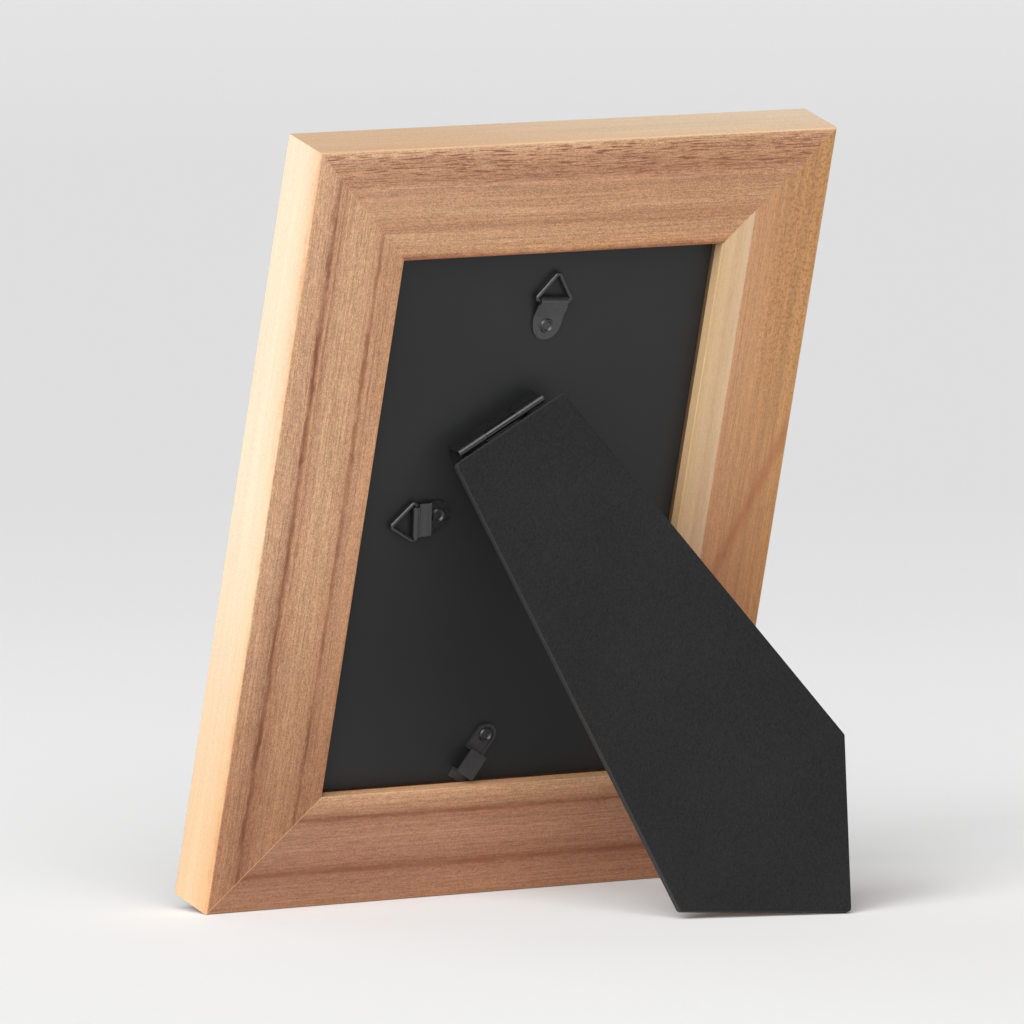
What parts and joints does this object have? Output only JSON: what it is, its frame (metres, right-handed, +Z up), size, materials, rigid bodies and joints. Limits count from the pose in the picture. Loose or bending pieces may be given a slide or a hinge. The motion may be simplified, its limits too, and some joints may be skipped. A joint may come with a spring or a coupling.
{
  "type": "picture frame",
  "caption": "Wooden tabletop picture frame on a slanting easel leg, with mitred rails, black backboard, turn clip and wire hangers.",
  "frame": {"origin": "centre of the bounding box's base, on the surface that the frame stands on, with the leg open", "axes": "+Z up; the picture faces -Y and leans back towards +Y; +X to the right as seen from the front"},
  "size_m": [0.1676, 0.1107, 0.2148],
  "materials": {
    "wood": "satin",
    "biscuit_wood": "raw",
    "glass": "clear",
    "print_paper": "matte",
    "card": "matte",
    "fibreboard": "raw",
    "board_paper": "smooth matte",
    "leg_paper": "fine leather-grain matte",
    "black_steel": "satin black"
  },
  "bodies": {
    "frame": {"bottom_rail": "wood", "top_rail": "wood", "left_rail": "wood", "right_rail": "wood", "corner_biscuits": "biscuit_wood", "glass_pane": "glass", "paper_print": "print_paper", "spacer_card": "card", "backboard_core": "fibreboard", "backboard_paper": "board_paper", "hinge_board_leaf": "black_steel", "hinge_board_rivets": "black_steel", "hinge_pin": "black_steel", "top_hanger_strap": "black_steel", "top_hanger_rivet": "black_steel", "side_hanger_strap": "black_steel", "side_hanger_rivet": "black_steel", "turn_clip_rivet": "black_steel"},
    "easel_leg": {"hinge_leg_leaf": "black_steel", "hinge_leg_rivets": "black_steel", "leg_core": "fibreboard", "leg_cover": "leg_paper"},
    "top_ring": {"top_hanger_ring": "black_steel"},
    "side_ring": {"side_hanger_ring": "black_steel"},
    "clip": {"turn_clip": "black_steel"}
  },
  "joints": [
    {"name": "leg_fold", "type": "hinge", "parent": "frame", "child": "easel_leg", "pos_m": [0.013, -0.00143, 0.13234], "axis": [-0.8572, 0.1368, 0.4965], "range_deg": [0, 33]},
    {"name": "top_ring_flip", "type": "hinge", "parent": "frame", "child": "top_ring", "pos_m": [-0.00076, 0.00371, 0.16618], "axis": [-0.9981, -0.0162, -0.0589], "range_deg": [0, 110]},
    {"name": "side_ring_flip", "type": "hinge", "parent": "frame", "child": "side_ring", "pos_m": [0.03303, -0.0127, 0.10657], "axis": [0.1392, 0.263, 0.9547], "range_deg": [0, 110]},
    {"name": "clip_turn", "type": "hinge", "parent": "frame", "child": "clip", "pos_m": [-0.0013, -0.03063, 0.04475], "axis": [0, 0.9641, -0.2656], "continuous": true}
  ]
}
